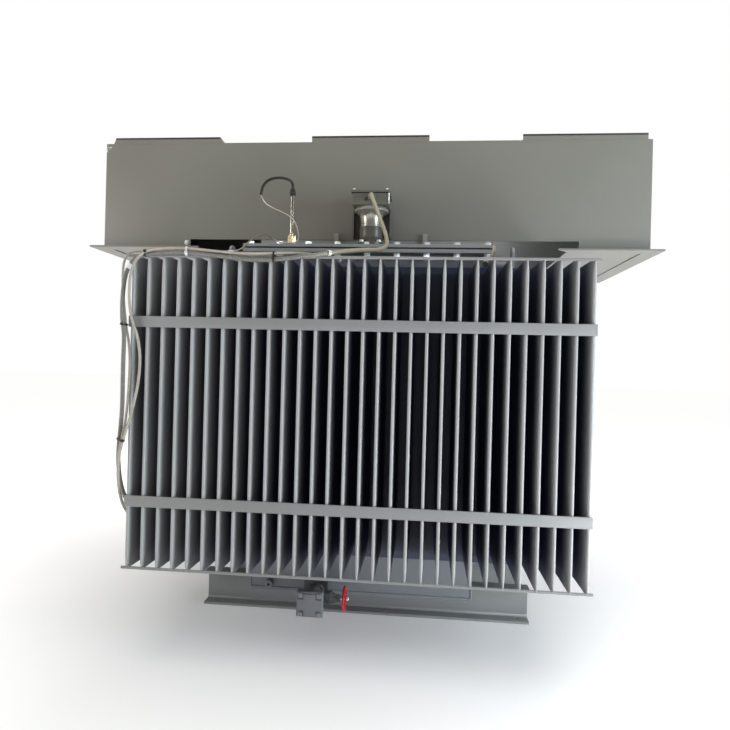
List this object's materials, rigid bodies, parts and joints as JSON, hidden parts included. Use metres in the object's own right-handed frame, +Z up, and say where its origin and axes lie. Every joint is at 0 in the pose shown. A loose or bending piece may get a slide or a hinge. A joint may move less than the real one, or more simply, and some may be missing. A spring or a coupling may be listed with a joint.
{
  "type": "power transformer",
  "caption": "Oil-filled distribution transformer with corrugated fin walls, base rails, drain valve, protection relay and a sheet-metal connection housing on top.",
  "frame": {"origin": "centre of the four floor holes in the base rails, at floor level", "axes": "+X along the tank, +Y to the back, +Z up"},
  "size_m": [1.986, 1.3, 1.684],
  "materials": {
    "grey_paint": "mid grey satin paint on steel",
    "housing_paint": "light grey powder coat on sheet steel",
    "rubber": "black nitrile sheet",
    "zinc": "bright zinc-plated steel",
    "relay_paint": "grey moulded housing",
    "relay_metal": "cast aluminium",
    "brass": "turned brass",
    "black_plastic": "black moulded plastic",
    "cast_iron": "dark painted cast iron",
    "red_paint": "red enamel",
    "conduit": "ribbed grey polyamide"
  },
  "bodies": {
    "transformer": {"back_fin_braces": "grey_paint", "back_fin_wall": "grey_paint", "back_lifting_bollards": "grey_paint", "back_rail": "grey_paint", "capillary": "conduit", "conduit_large": "conduit", "conduit_medium": "conduit", "conduit_small": "conduit", "cover": "grey_paint", "cover_gasket": "rubber", "cover_tabs": "grey_paint", "drain_blank": "grey_paint", "drain_pipe": "cast_iron", "drain_valve_body": "cast_iron", "earth_boss": "zinc", "front_fin_braces": "grey_paint", "front_fin_wall": "grey_paint", "front_lifting_bollards": "grey_paint", "front_rail": "grey_paint", "housing_back_wall": "housing_paint", "housing_brackets": "housing_paint", "housing_floor": "housing_paint", "housing_front_wall": "housing_paint", "housing_left_wall": "housing_paint", "housing_right_wall": "housing_paint", "housing_roof": "housing_paint", "housing_seat": "grey_paint", "left_fin_braces": "grey_paint", "left_fin_wall": "grey_paint", "left_roof_lid": "housing_paint", "middle_roof_lid": "housing_paint", "relay_chamber": "relay_metal", "relay_guard": "relay_paint", "relay_head": "relay_paint", "relay_neck": "relay_paint", "right_fin_braces": "grey_paint", "right_fin_wall": "grey_paint", "right_roof_lid": "housing_paint", "tank_back_wall": "grey_paint", "tank_flange": "grey_paint", "tank_floor": "grey_paint", "tank_front_wall": "grey_paint", "tank_left_wall": "grey_paint", "tank_right_wall": "grey_paint", "terminal_box": "relay_paint", "thermometer_boot": "black_plastic", "thermometer_pocket": "brass"},
    "drain_wheel": {"drain_handwheel": "red_paint", "drain_stem": "zinc"}
  },
  "joints": [
    {"name": "drain_wheel_turn", "type": "hinge", "parent": "transformer", "child": "drain_wheel", "pos_m": [-0.034, -0.43, 0.147], "axis": [1, 0, 0], "range_deg": [0, 1710]}
  ]
}
